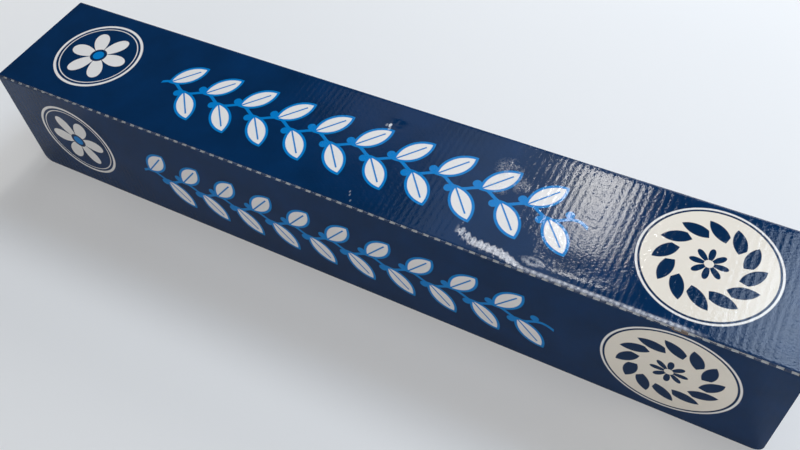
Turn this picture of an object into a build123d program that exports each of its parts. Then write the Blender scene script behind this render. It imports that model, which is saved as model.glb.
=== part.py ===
from build123d import *
import os
from math import cos, pi, radians, sin, sqrt

os.makedirs("parts", exist_ok=True)

# The closed carton stands on Z = 0, X runs along the roll and the front is at -Y

# Foil and the tube it is wound on
foil_width = 450.0
foil_run = 150000.0
foil_gauge = 0.014
winding_fill = 0.97  # share of the wound section that is metal
core_bore = 38.0
core_wall = 2.0
core_overhang = 1.0  # tube past the foil at each end
tail_step = 0.4  # doubled free edge of the last turn
tail_angle = 32.0  # degrees from the roll's top line to the free edge, towards the front

# Carton board
board = 1.6  # fine-flute board, liner to liner
fold_radius = 1.5  # outside round of a fold
flap_corner = 5.0  # rounded lower corners of the front flap
dust_flap = 29.0  # reach of the glued flaps inside each end
dust_taper = 7.0  # slanted corners of those flaps

# Row of short cuts along the front top fold
cut_length = 3.1
cut_pitch = 6.1
cut_width = 1.0
cut_depth = 0.8

# Saw-toothed strip on the front wall
cutter_gauge = 0.3
cutter_height = 12.0
tooth_pitch = 3.0
tooth_depth = 1.8

# Clearances
roll_seat = 0.2  # roll to floor
roll_room = 1.43  # roll to the front and back walls
head_room = 4.57  # roll to the closed lid
end_room = 1.8  # tube to the flaps inside each end
core_fit = 0.1  # tube to foil, on the radius
cutter_gap = 0.3  # strip to the closed flap
cutter_lift = 1.2  # tooth tips above the table
flap_lift = 0.6  # lower edge of the front flap above the table

# The roll, and the carton that goes round it
core_radius = core_bore / 2 + core_wall
roll_radius = sqrt(core_radius**2 + foil_run * foil_gauge / winding_fill / pi)
core_length = foil_width + 2 * core_overhang
carton_length = core_length + 2 * (end_room + 2 * board)
carton_depth = 2 * (roll_radius + roll_room) + 3 * board + cutter_gauge + cutter_gap
carton_height = 2 * roll_radius + roll_seat + head_room + 2 * board

# Positions that follow
back = carton_depth / 2
flap_face = -carton_depth / 2
front_wall = flap_face + board + cutter_gap + cutter_gauge
wall_top = carton_height - board
half_length = carton_length / 2
end_inside = half_length - board
roll_y = (front_wall + back) / 2
roll_z = board + roll_seat + roll_radius
fold_inset = fold_radius * (1 - sqrt(0.5))
hinge_y = back - fold_inset
hinge_z = carton_height - fold_inset


def block(x, y, z):
    """Box between three pairs of limits."""
    size = Box(x[1] - x[0], y[1] - y[0], z[1] - z[0], align=Align.MIN)
    return Pos(x[0], y[0], z[0]) * size


def extrude_along_x(points, length):
    """Solid of constant YZ section, centred on X = 0."""
    face = make_face(Polyline(*[(0, y, z) for y, z in points], close=True))
    return extrude(face, length / 2, dir=(1, 0, 0), both=True)


def base_envelope():
    """Outside of the folded base: round folds under the floor and at the rear top."""
    shape = block((-half_length, half_length), (front_wall, back), (0, carton_height))
    floor_folds = shape.edges().group_by(Axis.Z)[0]
    lid_fold = shape.edges().filter_by(Axis.X).sort_by(Axis.Z)[-2:].sort_by(Axis.Y)[-1]
    return fillet([*floor_folds, lid_fold], fold_radius)


def wall_with_dust_flaps(outside, inward):
    """Long wall whose ends fold inwards as dust flaps; inward is the sign of Y into the carton."""
    reach = outside + inward * dust_flap
    inside = outside + inward * board
    outline = [
        (-end_inside, outside),
        (end_inside, outside),
        (end_inside, reach),
        (end_inside - board, reach),
        (end_inside - board, inside),
        (board - end_inside, inside),
        (board - end_inside, reach),
        (-end_inside, reach),
    ]
    wall = extrude(make_face(Polyline(*outline, close=True)), wall_top, dir=(0, 0, 1))
    folds = wall.edges().filter_by(Axis.Z).filter_by(lambda e: abs(e.center().Y - outside) < 0.01)
    wall = fillet(folds, fold_radius)
    free_corners = wall.edges().filter_by(Axis.X).filter_by(lambda e: abs(e.center().Y - reach) < 0.01)
    return chamfer(free_corners, dust_taper)


def hinge_wedge():
    """Top of the back wall, cut at 45 degrees where the lid folds away from it."""
    section = [(back - board, wall_top), (back, wall_top), (back, carton_height)]
    return extrude_along_x(section, 2 * (end_inside - fold_radius))


def carton_base():
    floor = block((-half_length, half_length), (front_wall, back), (0, board))
    right_end = block((end_inside, half_length), (front_wall, back), (0, wall_top))
    left_end = mirror(right_end, about=Plane.YZ)
    walls = wall_with_dust_flaps(front_wall, 1) + wall_with_dust_flaps(back, -1)
    return (floor + right_end + left_end + walls + hinge_wedge()) & base_envelope()


def lid_cuts():
    """Short cuts through the outer liner, square to the fold."""
    count = int((carton_length - cut_length) / cut_pitch)
    tool = Box(cut_length, cut_width, 2 * cut_depth)
    fold = Pos(0, flap_face + fold_inset, carton_height - fold_inset) * Rot(X=45)
    return [fold * place * tool for place in GridLocations(cut_pitch, 1, count, 1)]


def carton_lid():
    section = [
        (back, carton_height),
        (flap_face, carton_height),
        (flap_face, flap_lift),
        (flap_face + board, flap_lift),
        (flap_face + board, wall_top),
        (back - board, wall_top),
    ]
    lid = extrude_along_x(section, carton_length)
    outside = block((-half_length, half_length), (flap_face, back), (0, carton_height))
    top_folds = outside.edges().filter_by(Axis.X).group_by(Axis.Z)[-1]
    lid = lid & fillet(top_folds, fold_radius)
    lid = fillet(lid.edges().filter_by(Axis.Y).group_by(Axis.Z)[0], flap_corner)
    return lid - lid_cuts()


def foil_roll():
    """Wound foil: two half turns of unlike radius leave the step of the free edge."""
    out_y = -sin(radians(tail_angle))
    out_z = cos(radians(tail_angle))

    def at(radius, along, across):
        y = roll_y + radius * (along * out_y + across * out_z)
        z = roll_z + radius * (along * out_z - across * out_y)
        return (0, y, z)

    def shifted(point):
        return (0, point[1] - tail_step / 2 * out_y, point[2] - tail_step / 2 * out_z)

    small = roll_radius - tail_step / 2
    outline = [
        ThreePointArc(at(roll_radius, 1, 0), at(roll_radius, 0, 1), at(roll_radius, -1, 0)),
        ThreePointArc(at(roll_radius, -1, 0), shifted(at(small, 0, -1)), shifted(at(small, 1, 0))),
        Line(shifted(at(small, 1, 0)), at(roll_radius, 1, 0)),
    ]
    wound = extrude(make_face(outline), foil_width / 2, dir=(1, 0, 0), both=True)
    bore = Cylinder(core_radius + core_fit, foil_width)
    return wound - Pos(0, roll_y, roll_z) * Rot(Y=90) * bore


def core_tube():
    tube = Cylinder(core_radius, core_length) - Cylinder(core_bore / 2, core_length)
    return Pos(0, roll_y, roll_z) * Rot(Y=90) * tube


def cutter_strip():
    teeth = int(foil_width / tooth_pitch)
    left = -teeth * tooth_pitch / 2
    root = cutter_lift + tooth_depth
    edge = [(left, cutter_lift + cutter_height), (left, root)]
    for i in range(teeth):
        edge.append((left + (i + 0.5) * tooth_pitch, cutter_lift))
        edge.append((left + (i + 1) * tooth_pitch, root))
    edge.append((-left, cutter_lift + cutter_height))
    face = make_face(Polyline(*[(x, front_wall, z) for x, z in edge], close=True))
    return extrude(face, cutter_gauge, dir=(0, -1, 0))


pieces = {
    "carton_base": carton_base,
    "carton_lid": carton_lid,
    "foil_roll": foil_roll,
    "core_tube": core_tube,
    "cutter_strip": cutter_strip,
}
for name, make in pieces.items():
    solid = make()
    export_step(solid, f"parts/{name}.step")
    box = solid.bounding_box()
    print(name, "volume", round(solid.volume), "from", box.min, "to", box.max)
print("carton", round(carton_length, 2), round(carton_depth, 2), round(carton_height, 2))
print("hinge line at", round(hinge_y, 3), round(hinge_z, 3), "roll radius", round(roll_radius, 2))
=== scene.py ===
# %% [markdown]
# # A carton of catering foil
#
# This lesson dresses a CAD model of a long corrugated carton with a roll of foil in it. The CAD model is
# the frame: it fixes every size, and the lid's hinge. Blender adds what the eye needs, which is fluted
# board with a printed gloss liner, a cut fold, dents and rubbed edges, and bright foil under the lid.
# The frame comes first, because each piece below takes its place from it.

# %% Load the frame
from math import cos, pi, radians, sin

import bmesh
import bpy
import numpy as np
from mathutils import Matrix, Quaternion, Vector


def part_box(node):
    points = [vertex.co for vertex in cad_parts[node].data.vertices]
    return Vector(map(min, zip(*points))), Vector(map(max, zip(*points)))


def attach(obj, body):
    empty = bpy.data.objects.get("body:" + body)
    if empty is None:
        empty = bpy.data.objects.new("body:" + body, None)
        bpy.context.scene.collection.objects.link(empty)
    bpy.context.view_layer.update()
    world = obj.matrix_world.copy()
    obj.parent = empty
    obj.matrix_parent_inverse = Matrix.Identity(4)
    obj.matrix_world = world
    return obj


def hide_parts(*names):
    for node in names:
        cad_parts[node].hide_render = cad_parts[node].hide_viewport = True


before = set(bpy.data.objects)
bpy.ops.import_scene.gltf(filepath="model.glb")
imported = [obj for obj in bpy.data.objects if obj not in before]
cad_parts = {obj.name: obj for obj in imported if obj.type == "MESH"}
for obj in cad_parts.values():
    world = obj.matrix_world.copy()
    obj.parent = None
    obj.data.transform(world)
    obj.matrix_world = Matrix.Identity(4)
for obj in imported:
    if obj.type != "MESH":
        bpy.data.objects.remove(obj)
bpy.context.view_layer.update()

MM = 0.001
lid_low, lid_high = (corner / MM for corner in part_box("carton_lid"))
base_low, base_high = (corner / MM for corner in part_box("carton_base"))
half_length = lid_high.x
flap_face = lid_low.y
flap_bottom = lid_low.z
top = lid_high.z
back = base_high.y
front_wall = base_low.y
board = 1.6
fold = 1.5
wall_top = top - board
print("carton, mm:", 2 * half_length, round(back - flap_face, 2), round(top, 2))

# %% [markdown]
# ## The camera
#
# The photograph looks down on the carton from its front right corner, close enough for strong perspective,
# and tilted a little. A camera that is matched to a photograph needs four things: where it stands, where
# it looks, its roll about that line, and its lens. Here they were found by matching the carton's edges.

# %% Place the camera
eye = Vector((0.1795, -0.2472, 0.3954))
aim = Vector((0.0410, -0.0373, 0.0752))
camera_roll = radians(-6.92)
lens_mm = 37.73

camera = bpy.data.objects.new("camera", bpy.data.cameras.new("camera"))
bpy.context.scene.collection.objects.link(camera)
camera.data.lens = lens_mm
camera.data.sensor_width = 36.0
camera.data.clip_start = 0.01
camera.location = eye
camera.rotation_mode = "QUATERNION"
camera.rotation_quaternion = (aim - eye).to_track_quat("-Z", "Y") @ Quaternion((0, 0, 1), camera_roll)
bpy.context.scene.camera = camera
print("camera stands", round((aim - eye).length, 3), "m from the lid")

# %% [markdown]
# ## A way to write finishes
#
# A finish is a network of shader nodes. Wiring nodes one by one hides the idea, so a small class wraps a
# socket and lets Python's own operators add the Math nodes: `1 - mask` is then one node. Colours go
# through Mix nodes, because a Math node would turn them grey.

# %% Shader values as Python expressions
class Wire:
    """A value that flows between shader nodes; each operation on it adds one Math node."""

    def __init__(self, finish, socket):
        self.finish = finish
        self.socket = socket

    def math(self, operation, *values, clamp=False):
        settings = {"operation": operation, "use_clamp": clamp}
        return self.finish.node("ShaderNodeMath", settings, dict(enumerate(values)))

    def __add__(self, other):
        return self.math("ADD", self, other)

    def __sub__(self, other):
        return self.math("SUBTRACT", self, other)

    def __rsub__(self, other):
        return self.math("SUBTRACT", other, self)

    def __mul__(self, other):
        return self.math("MULTIPLY", self, other)

    def __truediv__(self, other):
        return self.math("DIVIDE", self, other)

    def __pow__(self, other):
        return self.math("POWER", self, other)

    __radd__ = __add__
    __rmul__ = __mul__

    def abs(self):
        return self.math("ABSOLUTE", self)

    def sqrt(self):
        return self.math("SQRT", self)

    def sine(self):
        return self.math("SINE", self)

    def cosine(self):
        return self.math("COSINE", self)

    def ping_pong(self, reach):
        return self.math("PINGPONG", self, reach)

    def at_most(self, other):
        return self.math("MINIMUM", self, other)

    def clamp(self):
        return self.math("ADD", self, 0.0, clamp=True)

    def repeat(self, pitch):
        """The place within one pitch of a pattern, from minus half to half of it."""
        return self.math("WRAP", self, pitch / 2, -pitch / 2)

    def direction_to(self, across):
        return self.math("ARCTAN2", across, self)


# %% A finish and its nodes
def srgb(red, green, blue):
    """A screen colour, 0 to 255, as the linear colour that a shader needs."""
    parts = (value / 255 for value in (red, green, blue))
    return tuple(p / 12.92 if p <= 0.04045 else ((p + 0.055) / 1.055) ** 2.4 for p in parts) + (1.0,)


class Finish:
    """A material, its Principled shader, and one method that adds any other node."""

    def __init__(self, name, constants=None):
        self.material = bpy.data.materials.new(name)
        self.material.use_nodes = True
        self.tree = self.material.node_tree
        self.shader = self.tree.nodes["Principled BSDF"]
        self.feed(self.shader, constants or {})

    def feed(self, node, sockets):
        for key, value in sockets.items():
            if isinstance(value, Wire):
                self.tree.links.new(value.socket, node.inputs[key])
            else:
                node.inputs[key].default_value = value

    def node(self, kind, settings=None, sockets=None, out=0):
        made = self.tree.nodes.new(kind)
        for key, value in (settings or {}).items():
            setattr(made, key, value)
        self.feed(made, sockets or {})
        return Wire(self, made.outputs[out])

    def position(self):
        """x, y and z on the piece, in millimetres, which turn with it."""
        place = self.node("ShaderNodeTexCoord", out="Object")
        scaled = self.node("ShaderNodeVectorMath", {"operation": "SCALE"}, {0: place, "Scale": 1 / MM})
        split = self.tree.nodes.new("ShaderNodeSeparateXYZ")
        self.feed(split, {0: scaled})
        return [Wire(self, output) for output in split.outputs]

    def point(self, x, y, z):
        return self.node("ShaderNodeCombineXYZ", None, {0: x, 1: y, 2: z})

    def noise(self, where, scale, detail=2.0, roughness=0.5):
        sockets = {"Vector": where, "Scale": scale, "Detail": detail, "Roughness": roughness}
        return self.node("ShaderNodeTexNoise", None, sockets)

    def over(self, below, above, mask):
        """The colour above laid over the colour below where the mask is 1."""
        settings = {"data_type": "RGBA"}
        return self.node("ShaderNodeMix", settings, {"Factor": mask, 6: below, 7: above}, out=2)

    def bump(self, height, depth_mm):
        return self.node("ShaderNodeBump", None, {"Height": height, "Distance": depth_mm * MM})

    def wire_up(self, **links):
        self.feed(self.shader, {key.replace("_", " ").title(): value for key, value in links.items()})
        return self.material


# %% Soft-edged masks
SOFT = 0.3


def step(value, softness=SOFT):
    """0 below zero and 1 above it, with a soft edge that many millimetres wide."""
    return (value / softness + 0.5).clamp()


def between(value, low, high, softness=SOFT):
    return step(value - low, softness) * step(high - value, softness)


def distance(u, v, centre):
    return ((u - centre[0]) * (u - centre[0]) + (v - centre[1]) * (v - centre[1])).sqrt()


# %% [markdown]
# ## The printed design
#
# The liner is printed deep navy, with a round badge at the left, a running vine of white leaves with bright
# blue outlines, and a cream disc at the right. The same design is on the lid's top and on its front flap.
# Ink has no thickness, so it belongs in the shader and not in the mesh. An image would blur close up. Here
# each shape is a distance, in millimetres, turned into a mask, so its edge stays sharp at any zoom.

# %% Inks and the places they go
navy = srgb(5, 41, 76)
worn_navy = srgb(6, 55, 103)
bright_blue = srgb(4, 124, 196)
white_ink = srgb(236, 231, 226)
cream_ink = srgb(237, 227, 212)
badge_place = (-185.0, 1.0)
disc_place = (179.4, 1.6)
vine_from, vine_to = -134.0, 123.25
vine_height = -2.0
leaf_pitch = 24.5
outline_width = 1.5


# %% One leaf: where two circles overlap
def leaf_depth(a, b, half_length_mm, half_width):
    """How far a point is inside a pointed leaf that lies along a; below zero outside it."""
    bend = (half_length_mm**2 + half_width**2) / (2 * half_width)
    beyond = b.abs() + (bend - half_width)
    return bend - (a * a + beyond * beyond).sqrt()


def turned(a, b, degrees):
    """The same place, measured along and across a line at that angle."""
    c, s = cos(radians(degrees)), sin(radians(degrees))
    return a * c + b * s, b * c - a * s


# %% The vine: leaves on both sides of a stem, and a berry opposite each
stem_half, stem_sway = 0.9, 2.4
leaf_half_length, leaf_half_width = 10.5, 4.8
leaf_rise = 10.5
leaf_lean = 50.0
vein_half, vein_stop = 0.45, 3.5
berry_radius, berry_place = 2.3, (2.0, -4.2)


def vine_masks(u, v):
    """White leaves, and the blue of their outlines, the stem and the berries."""
    up = v - vine_height
    line = (u - vine_from) * (2 * pi / leaf_pitch)
    slope = line.cosine() * (stem_sway * 2 * pi / leaf_pitch)
    off_stem = (up - line.sine() * stem_sway).abs() / (slope * slope + 1).sqrt()
    blue = step(stem_half - off_stem) * between(u, vine_from, vine_to)
    white = 0.0
    for side, start, stop in ((1, 0.0, 0.5), (-1, 0.5, 0.0)):
        in_run = between(u, vine_from + start * leaf_pitch, vine_to - stop * leaf_pitch, 0.01)
        cell = (u - (vine_from + (start + 0.5) * leaf_pitch)).repeat(leaf_pitch)
        a, b = turned(cell, up * side - leaf_rise, leaf_lean)
        depth = leaf_depth(a, b, leaf_half_length, leaf_half_width)
        vein = step(vein_half - b.abs()) * step(leaf_half_length - vein_stop - a)
        berry = step(berry_radius - distance(cell, up * side, berry_place))
        blue = blue + (step(depth + outline_width) + berry) * in_run
        white = white + step(depth) * (1 - vein) * in_run
    return white, blue.clamp()


# %% A rosette: petals from the cosine of the angle round its middle
def rosette_mask(away, angle, petals, reach, blunt, hole):
    """Petals of that reach round a hole; a smaller blunt makes their tips rounder."""
    petal = (angle * (petals / 2)).cosine().abs() ** blunt * reach
    return step(petal - away) * step(away - hole)


# %% The badge: two rings and a six-petal rosette
outer_ring = (25.4, 27.0)
inner_ring = (23.3, 23.9)
eye_radius = 3.4


def badge_masks(u, v):
    """White rings and rosette, and the blue eye in the middle."""
    away = distance(u, v, badge_place)
    angle = (u - badge_place[0]).direction_to(v - badge_place[1])
    rings = between(away, *outer_ring) + between(away, *inner_ring)
    rosette = rosette_mask(away, angle, petals=6, reach=19.5, blunt=0.55, hole=5.2)
    return (rings + rosette).clamp(), step(eye_radius - away)


# %% The disc: cream with a double rim, and a navy wreath
rim_radius, gap_radius, field_radius = 32.8, 31.7, 30.6
wreath_leaves, wreath_radius, wreath_lean = 12, 19.5, 40.0
wreath_leaf = (8.0, 3.3)


def disc_masks(u, v):
    """White rim, the gap inside it, cream field, and the navy wreath with its small rosette."""
    away = distance(u, v, disc_place)
    angle = (u - disc_place[0]).direction_to(v - disc_place[1])
    cell = angle.repeat(2 * pi / wreath_leaves)
    a, b = turned(away * cell.sine(), away * cell.cosine() - wreath_radius, wreath_lean)
    wreath = step(leaf_depth(a, b, *wreath_leaf))
    rosette = rosette_mask(away, angle, petals=8, reach=9.0, blunt=0.6, hole=2.2)
    return step(rim_radius - away), step(gap_radius - away), step(field_radius - away), wreath + rosette


# %% [markdown]
# ## Wear on the print, and painted glints
#
# This lid was handled. Print has broken white along a crease that runs down to the front fold and on beside
# it, something pressed a ring into the lid, a spot of print is torn off the fold, and there are scuffs and
# small nicks. The pale crease, the ring, the scuffs and a faint line on the fold's crest are partly painted
# highlights as well: their lighter colour stands for glints of the lamps on the crushed board. Wear could be
# painted by hand on an image. Here each mark is a mask in the lid's own millimetres, so that it moves with
# the lid, and noise gives it a ragged edge.

# %% Ramps, flutes and ovals
flute_pitch = 3.5
cut_pitch = 6.1


def rise(value, low, high):
    """0 below low, 1 above high, and a straight rise between."""
    return ((value - low) / (high - low)).clamp()


def wave(value):
    """The wave of the flutes, from -1 to 1."""
    return (value * (2 * pi / flute_pitch)).cosine()


def inside_oval(u, v, centre, reach):
    """1 in the middle of an oval, 0 on its rim and below zero outside it."""
    across = (u - centre[0]) / reach[0]
    up = (v - centre[1]) / reach[1]
    return 1 - (across * across + up * up)


# %% Scuffs with painted glints, and nicks
scuffs_and_glints = (
    ((75.0, 18.0), (9.0, 8.0)),
    ((74.0, 4.0), (7.0, 5.0)),
    ((84.0, 10.0), (6.0, 6.0)),
    ((106.0, -31.0), (7.0, 3.0)),
)
nicks = (
    ((4.4, 20.6), (0.9, 1.7), 0.9),
    ((5.2, 18.0), (0.8, 1.6), 0.35),
    ((2.6, 20.0), (0.8, 1.2), 0.3),
    ((7.9, -28.9), (0.5, 0.9), 0.3),
    ((8.9, -30.8), (0.5, 0.9), 0.25),
    ((11.0, -34.0), (0.5, 0.9), 0.2),
)
ragged = 0.5


def scuff_and_glint_mask(x, y, blotch):
    """1 in the middle of a few rubbed places, whose lighter speckles are partly painted glints, and 0 away
    from them.
    """
    total = 0.0
    for centre, reach in scuffs_and_glints:
        total = total + inside_oval(x, y, centre, reach).clamp()
    return (total * (blotch * 4 - 1.3).clamp()).clamp()


def nick_mask(x, y, grain):
    """A scraped speck where the lid was knocked, and a few fainter ones."""
    total = 0.0
    for centre, reach, strength in nicks:
        total = total + step(inside_oval(x, y, centre, reach) + 0.25 - grain, ragged) * strength
    return total.clamp()


# %% The crease, drawn through four points, and the crushed fold that it runs into, as broken print and painted glints
crease_x = (69.0, 77.0, 92.0, 103.0)
crease_y = (-28.0, -31.6, -32.5, -35.9)
crush_from, crush_to = 98.0, 186.0
crease_half, crease_half_at_fold = 1.8, 0.95
tooth_reach = 1.4
crease_soft = 0.9


def crease_crack_and_glint_mask(x, y, grain):
    """Print broken in a tooth on each flute, which close up to a band and then to beads at the fold; their
    pale colour is partly painted glints.
    """
    line = crease_y[0]
    for i in range(len(crease_x) - 1):
        line = rise(x, crease_x[i], crease_x[i + 1]) * (crease_y[i + 1] - crease_y[i]) + line
    off = y - line
    at_fold = rise(x, crush_from - 2, crush_from + 6)
    tooth = 1 - x.repeat(flute_pitch).abs() * (2 / flute_pitch)
    half = crease_half - at_fold * (crease_half - crease_half_at_fold)
    upper = half + tooth * (1 - at_fold) * tooth_reach
    band = step(upper - off, crease_soft) * step(half + off, crease_soft)
    closed_up = (rise(x, 76.0, 84.0) + step(tooth - 0.45)).clamp()
    bead = (x * (4 * pi / cut_pitch)).cosine() * 0.5 + 0.5
    beaded = 1 - at_fold * (1 - bead) * 0.5
    ends = rise(x, 66.0, 69.0) * (1 - rise(x, crush_to - 8, crush_to + 4))
    return band * closed_up * beaded * ends * (grain * 2.4 - 0.4).clamp()


# %% The pressed ring, with its painted glint, and the torn spot
ring_place, ring_reach = (107.2, -30.4), (5.2, 2.3)
torn_place, torn_reach = (178.0, top - 0.9), (5.0, 1.0)


def ring_rub_and_glint_mask(x, y, grain):
    """A rubbed ring where something pressed on the lid, painted lighter partly as a glint of the lamps."""
    away = (1 - inside_oval(x, y, ring_place, ring_reach)).sqrt()
    return between(away, 0.4, 1.0, 0.4) * (grain * 2.4 - 0.6).clamp()


def bare_mask(x, y, z, grain):
    """Brown board where the print is torn off the flap's side of the fold."""
    on_fold = step(flap_face + 1.0 - y, 0.4)
    return step(inside_oval(x, z, torn_place, torn_reach) + 0.3 - grain, ragged) * on_fold


# %% [markdown]
# ## The gloss liner
#
# The printed liner is paper under a gloss varnish. Close up it is never quite even: the ink mottles, the
# varnish has a fine grain, and the flutes under it are broken up along their length, all of which shows in
# a reflection. One function makes the liner for the lid, with its design, wear and painted glints, and for
# the plain base.

# %% Layers of ink on one liner
def design_colour(finish, colour, x, v):
    """The navy ground with the vine, the badge and the disc laid over it."""
    white, blue = vine_masks(x, v)
    rosette, eye_spot = badge_masks(x, v)
    rim, gap, field, wreath = disc_masks(x, v)
    colour = finish.over(colour, bright_blue, (blue + eye_spot).clamp())
    colour = finish.over(colour, white_ink, (white + rosette + rim).clamp())
    colour = finish.over(colour, navy, gap)
    colour = finish.over(colour, cream_ink, field)
    return finish.over(colour, navy, wreath)


# %% Wear and painted glints on one liner
scuff_and_glint_grey = srgb(176, 178, 182)
cracked_print_and_glint_white = srgb(208, 208, 213)
torn_brown = srgb(134, 112, 90)
nick_white = srgb(226, 226, 228)
crest_wear_and_highlight_reach, crest_inset = 0.6, fold * 0.3


def add_wear_and_glints(finish, colour, place, grain, on_top):
    """The colour with its wear and painted glints, and what they add to the roughness and the height."""
    x, y, z = place
    rubbed_and_glinting = scuff_and_glint_mask(x, y, finish.noise(finish.point(x, y, z), 0.16, 3.0, 0.6)) * on_top
    # Rubbed places get lighter grey speckles: partly rubbed print, partly painted glints of the lamps.
    colour = finish.over(colour, scuff_and_glint_grey, rubbed_and_glinting * step(grain - 0.52, 0.12) * 0.4)
    crest = distance(y, z, (flap_face + crest_inset, top - crest_inset))
    # A faint lighter line on the fold's crest between the cuts: partly rubbed print, partly a painted
    # highlight of the fold.
    crest_wear_and_highlight = step(crest_wear_and_highlight_reach - crest, crest_wear_and_highlight_reach) * grain * 0.15
    cracked_and_glinting = ((crease_crack_and_glint_mask(x, y, grain) + ring_rub_and_glint_mask(x, y, grain) * 0.6) * 0.9 + crest_wear_and_highlight).clamp()
    # Crease, ring and crest line painted pale: broken print, and painted glints of the lamps on the crushed
    # board.
    colour = finish.over(colour, cracked_print_and_glint_white, cracked_and_glinting)
    colour = finish.over(colour, torn_brown, bare_mask(x, y, z, grain) * 0.7)
    scraped = nick_mask(x, y, grain) * on_top
    colour = finish.over(colour, nick_white, scraped)
    scratches = finish.noise(finish.point(x * 1.4, y * 0.45, z * 0.45), 1.0, 3.0, 0.7)
    return colour, cracked_and_glinting * 0.2 + scraped * 0.5, scratches * rubbed_and_glinting * 3


# %% One liner
varnish_depth = 0.04
flute_breaks = 1.6
cross_flute_height = 0.25


def printed_liner(name, with_design=False, cross_flutes=False):
    """Gloss navy liner; with_design is the lid, and cross_flutes is an end panel."""
    finish = Finish(name, {"Specular IOR Level": 0.15})
    x, y, z = finish.position()
    place = finish.point(x, y, z)
    mottle = finish.noise(place, 0.05, 3.0)
    grain = finish.noise(place, 0.9, 2.0, 0.6)
    breaks = finish.noise(finish.point(x * 0.3, y, z), 0.8, 2.0, 0.6)
    colour = finish.over(navy, worn_navy, (mottle - 0.3).clamp())
    rough = mottle * 0.05 + 0.05
    flutes = wave(z) * cross_flute_height if cross_flutes else wave(x) * (breaks - 0.5) * flute_breaks
    height = grain + flutes
    if with_design:
        on_flap = ((flap_face + fold / 2 - y) * 4).clamp()
        v = y * (1 - on_flap) + (z - top / 2) * on_flap
        colour = design_colour(finish, colour, x, v)
        colour, rougher, higher = add_wear_and_glints(finish, colour, (x, y, z), grain, 1 - on_flap)
        rough = rough + rougher
        height = height + higher
    normal = finish.bump(height, varnish_depth)
    return finish.wire_up(base_color=colour, roughness=rough, normal=normal)


lid_print = printed_liner("lid_print", with_design=True)
plain_print = printed_liner("plain_print")
end_print = printed_liner("end_print", cross_flutes=True)
print("lid print uses", len(lid_print.node_tree.nodes), "nodes")

# %% [markdown]
# ## Bare board
#
# Where the board isn't printed it is brown: the inside liner, with faint lines where the flutes are glued,
# and the cut edges, where the wave of the flute shows between two thin liners over painted shade in the
# hollows. The cuts in the front fold are different again, because there the torn top ply shows white.
# Modelling each flute would cost a great many faces for edges of 1.6 mm, so the wave is a mask, as the print
# is.

# %% Inside liner
def kraft_liner():
    finish = Finish("kraft_liner")
    x, y, z = finish.position()
    fibre = finish.noise(finish.point(x, y * 0.25, z * 0.25), 0.6, 4.0, 0.65)
    flute = wave(x) * 0.5 + 0.5
    colour = finish.over(srgb(150, 112, 74), srgb(186, 150, 108), fibre)
    colour = finish.over(colour, srgb(128, 94, 60), flute * 0.25)
    height = fibre * 0.4 + flute
    return finish.wire_up(base_color=colour, roughness=fibre * 0.2 + 0.7, normal=finish.bump(height, 0.05))


kraft = kraft_liner()

# %% Cut edges
top_ply_gauge = 0.24
liner_gauge = 0.26
flute_half_gauge = 0.17
flute_swing = board / 2 - 0.3


def fluted_edge(name, along, depth):
    """Cut edge: white top ply, brown flute, brown inside liner, and painted shade in the open flutes between
    them; depth is measured from the print.
    """
    finish = Finish(name, {"Roughness": 0.9})
    x, y, z = finish.position()
    fibre = finish.noise(finish.point(x, y, z), 1.5, 3.0)
    under = depth(x, y, z)
    middle = along(x, y, z, fibre) * flute_swing + board / 2
    flute = step(flute_half_gauge - (under - middle).abs(), 0.14)
    liner = step(under - (board - liner_gauge), 0.1)
    top_ply = step(top_ply_gauge - under, 0.1)
    # The dark brown ground between flute and liners is painted shade in the hollows of the open flutes.
    colour = finish.over(srgb(74, 52, 34), srgb(178, 142, 102), (flute + liner).clamp())
    colour = finish.over(colour, srgb(226, 222, 214), top_ply)
    colour = finish.over(colour, srgb(200, 172, 136), fibre * 0.3)
    height = (flute + liner + top_ply).clamp() + fibre * 0.3
    return finish.wire_up(base_color=colour, normal=finish.bump(height, 0.2))


# %% One edge for each way that the board is cut
def along_x(x, y, z, fibre):
    return wave(x)


def along_y(x, y, z, fibre):
    return wave(y)


def along_z(x, y, z, fibre):
    return wave(z)


def down_a_flute(x, y, z, fibre):
    """An edge cut along the flutes shows no wave, only fibre."""
    return fibre * 2 - 1


def under_end(x, y, z):
    return half_length - x.abs()


flap_edge = fluted_edge("flap_edge", along_x, lambda x, y, z: y - flap_face)
lid_end = fluted_edge("lid_end", down_a_flute, lambda x, y, z: (top - z).at_most(y - flap_face))
wall_edge = fluted_edge("wall_edge", along_x, lambda x, y, z: y - front_wall)
panel_edge = fluted_edge("panel_edge", along_z, under_end)
panel_top = fluted_edge("panel_top", down_a_flute, under_end)
dust_edge = fluted_edge("dust_edge", along_y, lambda x, y, z: under_end(x, y, z) - board)


# %% Torn ply in the cuts
def torn_ply():
    finish = Finish("torn_ply", {"Roughness": 0.9})
    x, y, z = finish.position()
    fibre = finish.noise(finish.point(x, y, z), 2.2, 4.0, 0.7)
    colour = finish.over(srgb(206, 208, 210), srgb(236, 236, 236), fibre)
    return finish.wire_up(base_color=colour, normal=finish.bump(fibre, 0.2))


torn = torn_ply()
print("finishes so far:", ", ".join(material.name for material in bpy.data.materials))

# %% [markdown]
# ## Board as a sheet
#
# The lid and the base are each one strip of board, folded across its length. A box with a texture would
# have dead flat faces and no thickness. Instead the strip is a grid: its rows follow the folded section,
# its columns run along the carton, and a relief in millimetres, always inwards, presses in the flutes,
# dents and cuts. A second, coarser grid is the inside, and strips of faces close the edges.

# %% Rows along a folded section
def straight(start, end, normal, count):
    """Rows between two points of the section, the last one left out."""
    share = np.arange(count)[:, None] / count
    points = np.array(start) + share * (np.array(end) - np.array(start))
    return np.hstack([points, np.tile(normal, (count, 1))])


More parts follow.
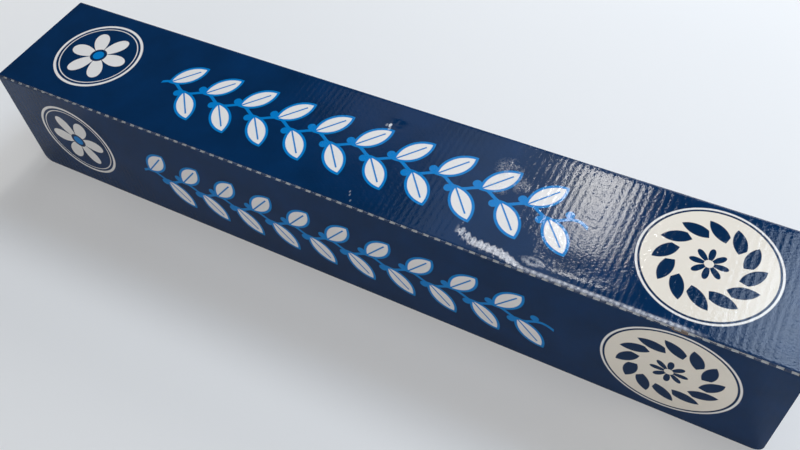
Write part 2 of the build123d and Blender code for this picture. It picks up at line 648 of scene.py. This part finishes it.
def round_fold(centre, degrees):
    """Rows round a fold, at the given angles from +Y towards +Z."""
    angles = np.radians(degrees)
    normals = np.stack([np.cos(angles), np.sin(angles)], 1)
    return np.hstack([np.array(centre) + fold * normals, normals])


def run_round(rows):
    """Distance of each row from the first, measured round the section."""
    return np.concatenate([[0], np.cumsum(np.hypot(*np.diff(rows[:, :2], axis=0).T))])


def grid_faces(rows, columns, first=0):
    """Quads of a grid whose points are numbered row by row."""
    corner = first + (np.arange(rows - 1)[:, None] * columns + np.arange(columns - 1)).ravel()
    return np.stack([corner, corner + columns, corner + columns + 1, corner + 1], 1)


# %% A closed sheet from its two sides
OUTSIDE, INSIDE, EDGE, END, CUT = range(5)
SMOOTH_BELOW = radians(35)


def closed_sheet(outer, inner, first_edge, last_edge, faces_cut=None):
    """Points, faces and face kinds of a sheet, from grids of points for its two sides."""
    rows, columns = outer.shape[:2]
    inner_rows = inner.shape[0]
    start = rows * columns
    points = np.concatenate([outer.reshape(-1, 3), inner.reshape(-1, 3)])
    outside = grid_faces(rows, columns)
    inside = grid_faces(inner_rows, columns, start)[:, ::-1]
    kinds = np.zeros(len(outside), int)
    if faces_cut is not None:
        kinds[faces_cut.ravel()] = CUT
    along = np.arange(columns - 1)
    last = (rows - 1) * columns
    inner_last = start + (inner_rows - 1) * columns
    head = np.stack([along, along + 1, start + along + 1, start + along], 1)
    tail = np.stack([last + along + 1, last + along, inner_last + along, inner_last + along + 1], 1)
    faces = [*outside.tolist(), *inside.tolist(), *head.tolist(), *tail.tolist()]
    kinds = [*kinds, *[INSIDE] * len(inside), *[first_edge] * len(along), *[last_edge] * len(along)]
    left = [*range(0, start, columns)]
    left_inside = [*range(start, len(points), columns)]
    right = [index + columns - 1 for index in left]
    right_inside = [index + columns - 1 for index in left_inside]
    faces += [left_inside + left[::-1], right + right_inside[::-1]]
    return points, faces, kinds + [END, END]


def add_piece(name, points, faces, kinds, materials):
    """A mesh object from points in millimetres, with one material for each kind of face."""
    mesh = bpy.data.meshes.new(name)
    mesh.from_pydata((np.asarray(points) * MM).tolist(), [], faces)
    for material in materials:
        mesh.materials.append(material)
    mesh.polygons.foreach_set("material_index", np.asarray(kinds, np.int32))
    mesh.polygons.foreach_set("use_smooth", np.ones(len(faces), bool))
    mesh.set_sharp_from_angle(angle=SMOOTH_BELOW)
    mesh.validate()
    piece = bpy.data.objects.new(name, mesh)
    bpy.context.scene.collection.objects.link(piece)
    triangles = sum(len(face) - 2 for face in faces)
    print(name, "has", triangles, "triangles")
    return piece


# %% [markdown]
# ## Flutes, dents and a crushed fold
#
# Fine-flute board shows its flutes through the liner as a washboard ripple of a few hundredths of a
# millimetre, hardly a shape at all until a light is reflected in it. The lid also has shallow dents, a
# crease that runs down to the front fold, and a fold that is crushed along its right half. They could be
# sculpted. Here each is a formula over the grid, so that it sits where its mask in the print sits.

# %% Random fields that are the same on every run
dice = np.random.default_rng(45)


def cloud(along, across, cell_along, cell_across):
    """Smooth random field from -1 to 1 over rows and columns at the given places."""
    low_a, low_b = along.min(), across.min()
    shape = (int((along.max() - low_a) / cell_along) + 2, int((across.max() - low_b) / cell_across) + 2)
    coarse = dice.uniform(-1, 1, shape)

    def spread(values, places, low, cell):
        at = (places - low) / cell
        index = np.minimum(at.astype(int), len(values) - 2)
        blend = at - index
        blend = (blend * blend * (3 - 2 * blend))[:, None]
        return values[index] * (1 - blend) + values[index + 1] * blend

    return spread(spread(coarse, along, low_a, cell_along).T, across, low_b, cell_across).T


# %% Smooth ramps
def ramp(values, low, high):
    """0 below low, 1 above high, and a smooth rise between."""
    share = np.clip((values - low) / (high - low), 0, 1)
    return share * share * (3 - 2 * share)


def plateau(values, low, full, hold, end):
    """0 up to low, 1 from full to hold, and 0 again from end on."""
    return ramp(values, low, full) * (1 - ramp(values, hold, end))


def hump(values, middle, reach):
    """1 at the middle, falling away smoothly on both sides."""
    return np.exp(-(((values - middle) / reach) ** 2))


# %% The washboard ripple
ripple_depth = 0.023


def flute_ripple(run, xs, flat_near):
    """Inward relief of the liner between flutes; it fades out near the folds."""
    fade = np.ones(len(run))
    for place in flat_near:
        fade *= ramp(np.abs(run - place), 0.8, 3.0)
    sink = (0.5 - 0.5 * np.cos(2 * pi * xs / flute_pitch)) ** 0.8
    uneven = 0.9 + 0.1 * cloud(run, xs, 60.0, flute_pitch) + 0.3 * cloud(run, xs, 4.0, flute_pitch)
    return -ripple_depth * fade[:, None] * sink * uneven


# %% Columns along the carton
cut_length = 3.1
cut_wall = 0.12
columns_per_flute = 6
least_spacing = 0.06


def even_columns(half):
    count = round(2 * half / flute_pitch * columns_per_flute)
    return np.linspace(-half, half, count + 1)


def lid_columns():
    """Even columns, and a pair at each end of each cut in the fold."""
    cuts_each_side = int((half_length - cut_length / 2) / cut_pitch)
    cuts = np.arange(-cuts_each_side, cuts_each_side + 1) * cut_pitch
    lips = [cuts + side * (cut_length / 2 + offset) for side in (-1, 1) for offset in (0, cut_wall)]
    lips = np.concatenate(lips)
    even = even_columns(half_length)
    clear = np.abs(even[:, None] - lips).min(1) > least_spacing
    return np.sort(np.concatenate([even[clear], lips[np.abs(lips) < half_length]]))


xs = lid_columns()
in_cut = np.abs((xs + cut_pitch / 2) % cut_pitch - cut_pitch / 2) <= cut_length / 2 + 0.01
print(len(xs), "columns,", int(in_cut.sum()), "of them in cuts")

# %% Rows of the lid
rear_centre = (back - fold, top - fold)
front_centre = (flap_face + fold, top - fold)
crest_angle, lip_angle = 135.0, 17.0
first_lip, last_lip = crest_angle - lip_angle, crest_angle + lip_angle
front_angles = [90, 104, first_lip - 2, first_lip, 126, crest_angle, 144, last_lip, last_lip + 2, 167]
finer_from, finest_from = -20.0, flap_face + fold + 3
flap_finer_to = top - 10
lid_rows = np.vstack([
    round_fold(rear_centre, [45, 67.5]),
    straight((back - fold, top), (finer_from, top), (0, 1), 30),
    straight((finer_from, top), (finest_from, top), (0, 1), 12),
    straight((finest_from, top), (flap_face + fold, top), (0, 1), 5),
    round_fold(front_centre, front_angles),
    straight((flap_face, top - fold), (flap_face, flap_finer_to), (-1, 0), 8),
    straight((flap_face, flap_finer_to), (flap_face, flap_bottom), (-1, 0), 8),
    [[flap_face, flap_bottom, -1, 0]],
])
run = run_round(lid_rows)
on_top = lid_rows[:, 3:4] > 0.99
fold_turn = np.degrees(np.arctan2(lid_rows[:, 3], lid_rows[:, 2]))
in_slot = np.abs(fold_turn - crest_angle) <= lip_angle + 0.1
front_run = run[in_slot].mean()
print(len(lid_rows), "rows,", round(run[-1], 1), "mm round the section")

# %% Dents, the crushed fold and the creases
dents = (
    (8.6, 22.6, 3.6, 1.5, 0.5),
    (4.4, 21.0, 1.4, 1.8, 0.2),
    (74, 14, 9, 9, 0.10),
    (106.5, -31, 4, 1.6, 0.2),
)
crumple_depth, bead_depth, rear_depth = 0.08, 0.10, 0.2
crease_sink, crush_sink = 0.40, 0.12
flute_lean, lean_lost = 0.39, 0.2
crease_span = (64, 72, 96, 106)
second_span = (104, 112, 138, 152)
crushed = plateau(xs, crush_from - 6, crush_from + 6, crush_to - 8, crush_to + 6)


def dent_depth(y):
    """Depth of the dents, each given as its place, its reach in x and y, and its depth."""
    return sum(depth * hump(xs, cx, rx) * hump(y, cy, ry) for cx, cy, rx, ry, depth in dents)


def fold_depth(crumple, beads):
    """Depth of the crushed front fold, and of the rear fold, which stays true along the hinge line."""
    front_line = hump(run, front_run - 0.6, 1.5)[:, None]
    rear_line = (ramp(run, 0, 1) * hump(run, 1.2, 0.9))[:, None]
    front = crushed * front_line * (crumple_depth * crumple + bead_depth * beads)
    return front + rear_depth * ramp(xs, 30, 90) * rear_line * crumple


def crease_depth(y, crumple, beads):
    """Depth beside the crease, beside the crushed fold and along a fainter second line."""
    off = y - np.interp(xs, crease_x, crease_y)
    lean = (flute_lean - lean_lost * ramp(xs, 70, 100)) * (xs / flute_pitch % 1.0) * hump(off, 0, 3.0)
    broad = crease_sink * plateau(off, -2.2, 2.6, 4, 20) + lean
    narrow = crush_sink * plateau(off, -0.9, 1.1, 1.5, 7) * (0.6 + 0.5 * beads)
    second = (0.10 + 0.08 * crumple) * plateau(y, -32.2, -29.4, -27, -16)
    return plateau(xs, *crease_span) * broad + crushed * narrow + plateau(xs, *second_span) * second


# %% Relief of the lid
cut_depth = 0.8


def lid_relief():
    """How far each grid point of the lid is pressed in, in millimetres, below zero."""
    y = lid_rows[:, :1]
    relief = flute_ripple(run, xs, (0.0, front_run))
    crumple = 0.5 + 0.5 * cloud(run, xs, 1.2, 1.1)
    beads = 0.5 + 0.5 * np.cos(4 * pi * xs / cut_pitch + 0.6 * cloud(run, xs, 30.0, 4.0))
    relief -= on_top * (dent_depth(y) + crease_depth(y, crumple, beads)) + fold_depth(crumple, beads)
    cuts = np.ix_(in_slot, in_cut)
    relief[cuts] = np.minimum(relief[cuts], -cut_depth)
    return np.minimum(relief, 0)


# %% The lid's two sides
flap_corner = 5.0


def side_points(rows, relief, columns):
    """Grid of points from section rows and their inward relief."""
    y = rows[:, :1] + rows[:, 2:3] * relief
    z = rows[:, 1:2] + rows[:, 3:4] * relief
    x = np.broadcast_to(columns, y.shape)
    return np.stack([x, y, z], 2)


def round_flap_corners(points):
    """Lifts the flap's lower edge along a quarter circle at both ends."""
    x, z = points[..., 0], points[..., 2]
    past = np.clip(np.abs(x) - (half_length - flap_corner), 0, flap_corner)
    lift = flap_corner - np.sqrt(flap_corner**2 - past**2)
    share = np.clip((top - fold - z) / (top - fold - flap_bottom), 0, 1)
    points[..., 2] = z + lift * share
    return points


lid_outside = round_flap_corners(side_points(lid_rows, lid_relief(), xs))
inner_corner = (flap_face + board, wall_top)
lid_inner_rows = np.vstack([
    straight((back - board, wall_top), inner_corner, (0, -1), 4),
    straight(inner_corner, (inner_corner[0], flap_bottom), (1, 0), 4),
    [[inner_corner[0], flap_bottom, 1, 0]],
])
flat = np.zeros((len(lid_inner_rows), len(xs)))
lid_inside = round_flap_corners(side_points(lid_inner_rows, flat, xs))

# %% Build the lid
slot_pairs = in_slot[:-1] | in_slot[1:]
cut_pairs = in_cut[:-1] & in_cut[1:]
lid_sheet = closed_sheet(lid_outside, lid_inside, INSIDE, EDGE, np.outer(slot_pairs, cut_pairs))
lid = add_piece("lid_board", *lid_sheet, [lid_print, kraft, flap_edge, lid_end, torn])
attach(lid, "lid")
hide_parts("carton_lid")

# %% [markdown]
# ## The base
#
# The base is a second strip of the same board: inner front wall, floor and back wall. Its ends are closed
# by flaps that fold in from the walls, with a panel glued over them. The strip uses the same sheet helper
# as the lid. The flaps and panels have no ripple to show, so flat outlines with the board's thickness do.

# %% The folded strip
end_inside = half_length - board
base_rows = np.vstack([
    straight((front_wall, wall_top), (front_wall, fold), (-1, 0), 8),
    round_fold((front_wall + fold, fold), [180, 202.5, 225, 247.5]),
    straight((front_wall + fold, 0), (back - fold, 0), (0, -1), 8),
    round_fold((back - fold, fold), [270, 292.5, 315, 337.5]),
    straight((back, fold), (back, top - fold), (1, 0), 16),
    round_fold(rear_centre, [0, 22.5, 45]),
])
base_run = run_round(base_rows)
mid_fold = np.abs(base_rows[:, 2] * base_rows[:, 3]) > 0.49
base_folds = base_run[mid_fold]
ease = end_inside - fold * (1 - np.cos(np.radians([90, 70, 50, 30, 15])))
base_xs = np.unique(np.concatenate([even_columns(end_inside - fold), ease, -ease]))
print(len(base_rows), "rows,", round(base_run[-1], 1), "mm round the section")


def base_relief():
    """Ripple, and walls that turn in round the fold of their end flaps."""
    relief = flute_ripple(base_run, base_xs, base_folds)
    past = np.clip(np.abs(base_xs) - (end_inside - fold), 0, fold)
    turn_in = fold - np.sqrt(fold**2 - past**2)
    return relief - np.abs(base_rows[:, 2:3]) * turn_in


inside_front = front_wall + board
inside_back = back - board
base_inner_rows = np.vstack([
    straight((inside_front, wall_top), (inside_front, board), (1, 0), 4),
    straight((inside_front, board), (inside_back, board), (0, 1), 4),
    straight((inside_back, board), (inside_back, wall_top), (-1, 0), 4),
    [[inside_back, wall_top, -1, 0]],
])
base_flat = np.zeros((len(base_inner_rows), len(base_xs)))
base_outside = side_points(base_rows, base_relief(), base_xs)
base_inside = side_points(base_inner_rows, base_flat, base_xs)
base_sheet = closed_sheet(base_outside, base_inside, EDGE, INSIDE)
base = add_piece("base_board", *base_sheet, [plain_print, kraft, wall_edge, wall_edge])
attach(base, "carton")
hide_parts("carton_base")


# %% Flat outlines with the board's thickness
def thick_outline(outline, low, high, place):
    """Prism of a flat outline; place turns (a, b, depth) into a point."""
    count = len(outline)
    points = [place(a, b, depth) for depth in (low, high) for a, b in outline]
    faces = [[*range(count)][::-1], [*range(count, 2 * count)]]
    faces += [[i, (i + 1) % count, count + (i + 1) % count, count + i] for i in range(count)]
    return points, faces


def end_panel(side):
    """Glued end panel, folded up from the floor; side is the sign of X."""
    turn = np.radians(np.arange(0, 91, 15))
    arc = [(half_length - fold + fold * sin(a), fold - fold * cos(a)) for a in turn]
    outline = [(end_inside, 0.0), *arc, (half_length, wall_top), (end_inside, wall_top)]
    points, faces = thick_outline(outline, front_wall, back, lambda a, b, d: (side * a, d, b))
    kinds = [EDGE, EDGE, *[OUTSIDE] * (len(outline) - 2), END, INSIDE]
    return points, faces, kinds


# %% Flaps inside the ends
dust_reach = 29.0
dust_taper = 7.0


def dust_flap(side, wall, inward):
    """Flap folded in from a long wall, with slanted free corners; inward is the sign of Y into the carton."""
    free = wall + inward * dust_reach
    root = wall + inward * board
    slant = free - inward * dust_taper
    outline = [
        (root, board),
        (slant, board),
        (free, board + dust_taper),
        (free, wall_top - dust_taper),
        (slant, wall_top),
        (root, wall_top),
    ]
    points, faces = thick_outline(outline, end_inside - board, end_inside, lambda a, b, d: (side * d, a, b))
    return points, faces, [INSIDE, INSIDE, *[EDGE] * len(outline)]


# %% Build the ends
def add_end(name, made, edge):
    """An end piece with all its faces turned outwards."""
    piece = add_piece(name, *made, [end_print, kraft, edge, panel_top])
    shape = bmesh.new()
    shape.from_mesh(piece.data)
    bmesh.ops.recalc_face_normals(shape, faces=shape.faces)
    shape.to_mesh(piece.data)
    shape.free()
    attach(piece, "carton")


for side, word in ((-1, "left"), (1, "right")):
    add_end(f"{word}_end_panel", end_panel(side), panel_edge)
    add_end(f"{word}_front_dust_flap", dust_flap(side, front_wall, 1), dust_edge)
    add_end(f"{word}_back_dust_flap", dust_flap(side, back, -1), dust_edge)

# %% [markdown]
# ## The foil roll
#
# Under the lid lies the roll: bright foil, wound tight, with the doubled free edge of its last turn along
# the top. A plain cylinder would look like a pipe. The wound surface is a grid round one turn, which gets
# faint bands from the winding, a slightly lifted free edge, and ends where some turns stand a little proud.

# %% Bright foil
roll_half = (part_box("foil_roll")[1] / MM).x
core_low, core_high = (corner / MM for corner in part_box("core_tube"))
roll_y = (core_low.y + core_high.y) / 2
roll_z = (core_low.z + core_high.z) / 2
core_radius = (core_high.z - core_low.z) / 2


def bright_foil(name, grain_along, grain_out):
    """Aluminium whose grain is that fine along the roll and outwards from its middle line."""
    finish = Finish(name, {"Metallic": 1.0})
    x, y, z = finish.position()
    away = distance(y, z, (roll_y, roll_z))
    grain = finish.noise(finish.point(x * grain_along, away * grain_out, 0.0), 1.0, 4.0, 0.6)
    colour = finish.over(srgb(216, 218, 221), srgb(243, 244, 246), grain)
    return finish.wire_up(base_color=colour, roughness=grain * 0.14 + 0.09, normal=finish.bump(grain, 0.02))


foil_face = bright_foil("foil_face", 1.6, 0.2)
foil_end = bright_foil("foil_end", 0.1, 8)

# %% The last turn of foil
roll_radius = 33.6
tail_angle = radians(90 + 32)
tail_step, tail_lift, lifted_share = 0.4, 0.35, 0.02
band_room = 0.07
angles = np.linspace(tail_angle - 2 * pi, tail_angle, 193)
roll_xs = np.linspace(-roll_half, roll_half, 151)
still_to_turn = (1 - (angles - angles[0]) / (2 * pi))[:, None]
lift = np.exp(-still_to_turn / lifted_share) * (0.5 + 0.5 * cloud(angles, roll_xs, 2.0, 30.0))
bands = 0.06 * cloud(angles, roll_xs, 0.5, 12.0) + 0.03 * cloud(angles, roll_xs, 6.3, 3.5)
radius = roll_radius - tail_step * still_to_turn + tail_lift * lift + bands - band_room
print("foil radius, mm:", round(radius.min(), 2), "to", round(radius.max(), 2))

# %% The roll's face and ends
ring_count = 25
ring_shares = np.linspace(0, 1, ring_count)
core_fit = 0.1
most_proud = 0.35


def roll_points(radii, x_values):
    """Grid of points at those radii round the roll's middle line."""
    y = roll_y + radii * np.cos(angles)[:, None]
    z = roll_z + radii * np.sin(angles)[:, None]
    return np.stack([np.broadcast_to(x_values, y.shape), y, z], 2)


def roll_end(side):
    """Rings from the outer turn to the core, some standing proud of others."""
    outer = radius[:, -1 if side > 0 else 0][:, None]
    radii = outer + (core_radius + core_fit - outer) * ring_shares
    uneven = np.abs(cloud(ring_shares, np.zeros(2), 0.08, 1.0)[:, 0])
    proud = most_proud * uneven * ramp(ring_shares, 0, 0.05)
    return roll_points(radii, side * (roll_half - proud))


def plain_grid(points, flip):
    """Points and faces of a grid, turned over where flip asks for it."""
    faces = grid_faces(*points.shape[:2])
    return points.reshape(-1, 3), faces[:, ::-1] if flip else faces


# %% Build the roll
FACE, WOUND_END = range(2)
parts = [
    (*plain_grid(roll_points(radius, roll_xs), True), FACE),
    (*plain_grid(roll_end(1), True), WOUND_END),
    (*plain_grid(roll_end(-1), False), WOUND_END),
]
points, faces, kinds = [], [], []
for part_points, part_faces, kind in parts:
    faces += (part_faces + len(points)).tolist()
    kinds += [kind] * len(part_faces)
    points += part_points.tolist()
roll = add_piece("foil_roll_wound", points, faces, kinds, [foil_face, foil_end])
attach(roll, "carton")
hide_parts("foil_roll")

# %% [markdown]
# ## Core and cutter
#
# The core tube and the saw-toothed cutter already have their true form in the CAD model, so they stay and
# only get a finish: brown board wound on a slant, and steel strip with fine lines along its length.

# %% Finishes for the CAD pieces that stay
seam_pitch = 40.0
seam_width = 0.8
seam_slant = 0.8


def wound_core():
    finish = Finish("wound_core", {"Roughness": 0.8})
    x, y, z = finish.position()
    fibre = finish.noise(finish.point(x, y, z), 0.8, 4.0)
    seam = step((x + z * seam_slant).ping_pong(seam_pitch) - (seam_pitch - seam_width), 0.5)
    colour = finish.over(srgb(158, 120, 80), srgb(190, 154, 112), fibre)
    colour = finish.over(colour, srgb(110, 80, 50), seam)
    return finish.wire_up(base_color=colour, normal=finish.bump(fibre - seam, 0.1))


def cutter_steel():
    finish = Finish("cutter_steel", {"Metallic": 1.0})
    x, y, z = finish.position()
    lines = finish.noise(finish.point(x * 0.02, y, z * 3), 1.0, 3.0)
    colour = finish.over(srgb(150, 152, 155), srgb(196, 198, 200), lines)
    return finish.wire_up(base_color=colour, roughness=lines * 0.2 + 0.25, normal=finish.bump(lines, 0.02))


for node, material in (("core_tube", wound_core()), ("cutter_strip", cutter_steel())):
    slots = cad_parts[node].material_slots
    slots[0].material = material
    print(node, "now has the finish", material.name)

# %% [markdown]
# ## Floor and light
#
# The photograph has a white ground and one bright window behind the carton, whose reflection lies across
# the lid as a pale band. A gloss surface shows what stands round it, so the lamps are placed as mirror
# images: the line from the camera to the band, reflected in the lid, ends at the window. A wall beside it
# and strips of hazy sky give the fainter sheen to the left and right, and broad lamps do the rest.
#
# The ground is a disc of white paper that curves up far away. Near the carton it takes light and shadow.
# Farther off, the camera and mirrors see an even white, which the Light Path node picks out.

# %% A pale floor that curves up far away
floor_white = 0.82
cove_white = 0.9
cove_start, cove_width, cove_rise, cove_top = 2200.0, 1000.0, 400.0, 1000.0
cove_turn = [radians(degrees) for degrees in range(10, 91, 10)]
cove_end = cove_start + cove_width
cove_radii = [1.0, cove_start, *(cove_start + cove_width * sin(a) for a in cove_turn), cove_end]
cove_heights = [0.0, 0.0, *(cove_rise - cove_rise * cos(a) for a in cove_turn), cove_top]
even_from, even_to = 300.0, 900.0
fade_from, fade_to = 440.0, 990.0
near_glow, near_mirror_glow = 0.3, 0.1
RAY_KINDS = ("Camera", "Glossy", "Transmission")


def grey(level):
    return (level, level, level, 1.0)


def pale_floor():
    """White paper; far from the carton the camera and mirrors see it as one even white."""
    finish = Finish("pale_floor", {"Roughness": 0.9, "Specular IOR Level": 0.1, "Emission Strength": 1.0})
    x, y, z = finish.position()
    rays = [finish.node("ShaderNodeLightPath", out=f"Is {kind} Ray") for kind in RAY_KINDS]
    mirrored = (rays[1] + rays[2]).clamp()
    far = rise(distance(x, y, (0.0, 0.0)), even_from, even_to)
    seen = rays[0] * (far * (1 - near_glow) + near_glow)
    glow = (seen + mirrored * (far * (1 - near_mirror_glow) + near_mirror_glow)).clamp()
    colour = finish.over(grey(floor_white), grey(0.0), glow)
    even = finish.over(grey(0.0), grey(cove_white), glow * (1 - rise(z, fade_from, fade_to)))
    return finish.wire_up(base_color=colour, emission_color=even)


turn_steps = np.radians(np.arange(0, 361, 5))
rings = [
    np.stack([r * np.cos(turn_steps), r * np.sin(turn_steps), np.full(len(turn_steps), h)], 1)
    for r, h in zip(cove_radii, cove_heights)
]
floor_faces = grid_faces(len(rings), len(turn_steps)).tolist()
floor_faces.append([*range(len(turn_steps) - 1)][::-1])
floor = add_piece("floor", np.concatenate(rings), floor_faces, [0] * len(floor_faces), [pale_floor()])


# %% Lamps
def lamp(name, place, size, radiance, turn=0.0, colour=(1, 1, 1), target=None):
    """Rectangular lamp as bright as a surface of that radiance; it faces down, or at its target."""
    data = bpy.data.lights.new(name, "AREA")
    data.shape = "RECTANGLE"
    data.size, data.size_y = size
    data.energy = radiance * pi * size[0] * size[1]
    data.color = colour
    made = bpy.data.objects.new(name, data)
    bpy.context.scene.collection.objects.link(made)
    made.location = place
    made.rotation_mode = "QUATERNION"
    aimed = Vector(target) - Vector(place) if target else Vector((0, 0, -1))
    made.rotation_quaternion = Quaternion((0, 0, 1), radians(turn)) @ aimed.to_track_quat("-Z", "Y")


ceiling = 1.275
wall_height = ceiling + 0.02
lamp("window", (-0.095, 1.05, ceiling), (0.13, 0.38), 35.5, turn=5.0, colour=(1.0, 0.97, 0.92))
lamp("wall_by_window", (-0.24, 0.98, wall_height), (0.48, 1.0), 2.0, colour=(0.8, 0.9, 1.0))
lamp("far_wall", (-0.66, 1.2, wall_height), (0.36, 0.5), 1.0)

# %% Strips of hazy sky
sky_blue = (0.68, 0.82, 1.0)
haze_levels = (10.4, 18.4, 9.2, 18.4, 9.4, 18.0)
haze_x, haze_y = 0.57, 0.95
haze_turn = -14.0
strip_width, strip_length = 0.1, 0.6
for i, level in enumerate(haze_levels):
    along = (i - (len(haze_levels) - 1) / 2) * strip_width
    strip_x = haze_x + along * cos(radians(haze_turn))
    strip_y = haze_y + along * sin(radians(haze_turn))
    place = (strip_x, strip_y, ceiling)
    lamp(f"sky_haze_{i + 1}", place, (strip_width, strip_length), level, turn=haze_turn, colour=sky_blue)

# %% Broad lamps
lamp("overhead", (0.55, -0.1, 0.95), (0.7, 0.6), 1.6)
lamp("behind", (0.4, 2.1, 1.1), (1.4, 0.8), 6.2, target=(0, 0, 0))
lamp("front_fill", (0.2, -1.6, 0.4), (1.0, 0.5), 4.8, target=(0, 0, 0.04), colour=(0.94, 0.97, 1.0))
print(len(bpy.data.lights), "lamps")

# %% World
world = bpy.data.worlds.new("studio")
world.use_nodes = True
background = world.node_tree.nodes["Background"]
background.inputs["Color"].default_value = (0.93, 0.96, 1.0, 1.0)
background.inputs["Strength"].default_value = 0.07
bpy.context.scene.world = world
bpy.context.scene.view_settings.view_transform = "Standard"
